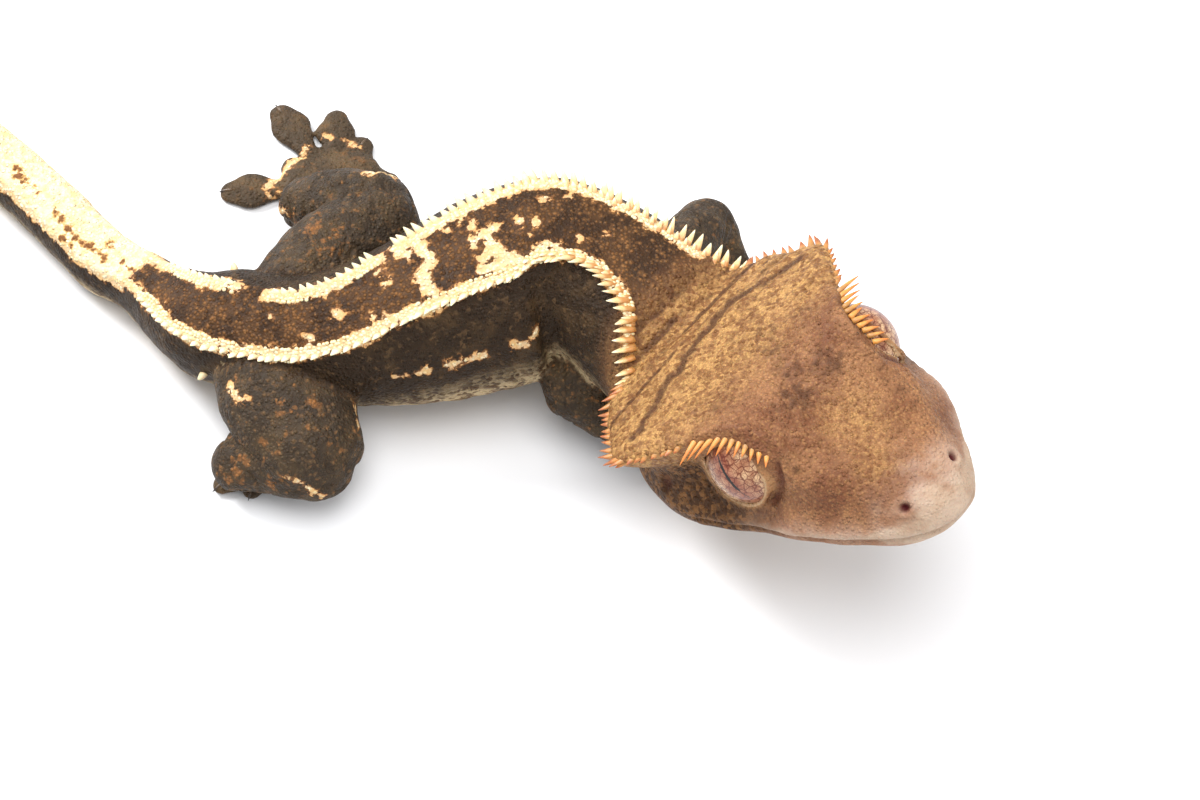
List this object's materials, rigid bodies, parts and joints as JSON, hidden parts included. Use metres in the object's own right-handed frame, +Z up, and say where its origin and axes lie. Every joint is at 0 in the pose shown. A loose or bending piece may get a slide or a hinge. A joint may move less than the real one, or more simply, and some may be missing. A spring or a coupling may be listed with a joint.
{
  "type": "crested gecko model",
  "caption": "Still, life-size model of a crested gecko lying in an S bend with raised head, spined crests and a full tail.",
  "frame": {"origin": "bottom centre of the model's box, on the floor it lies on", "axes": "+X from the tail towards the head, +Y to the animal's left, +Z up"},
  "size_m": [0.1502, 0.0722, 0.0283],
  "materials": {
    "head_skin": "soft granular skin, golden tan with brown mottling",
    "body_skin": "soft granular skin, dark brown with cream crests",
    "limb_skin": "soft granular skin, dark brown with orange mottling",
    "eye": "wet glossy clear spectacle over a veined iris",
    "spine": "horny cream spines with orange bases",
    "claw": "dark horn"
  },
  "bodies": {
    "root": {"head": "head_skin", "eye_left": "eye", "eye_right": "eye", "neck": "body_skin", "chest": "body_skin", "belly": "body_skin", "pelvis": "body_skin", "tail_base": "body_skin", "tail_middle": "body_skin", "tail_end": "body_skin", "upper_arm_right": "limb_skin", "forearm_right": "limb_skin", "hand_right": "limb_skin", "upper_arm_left": "limb_skin", "forearm_left": "limb_skin", "hand_left": "limb_skin", "thigh_left": "limb_skin", "shank_left": "limb_skin", "foot_left": "limb_skin", "thigh_right": "limb_skin", "shank_right": "limb_skin", "foot_right": "limb_skin"}
  },
  "joints": []
}
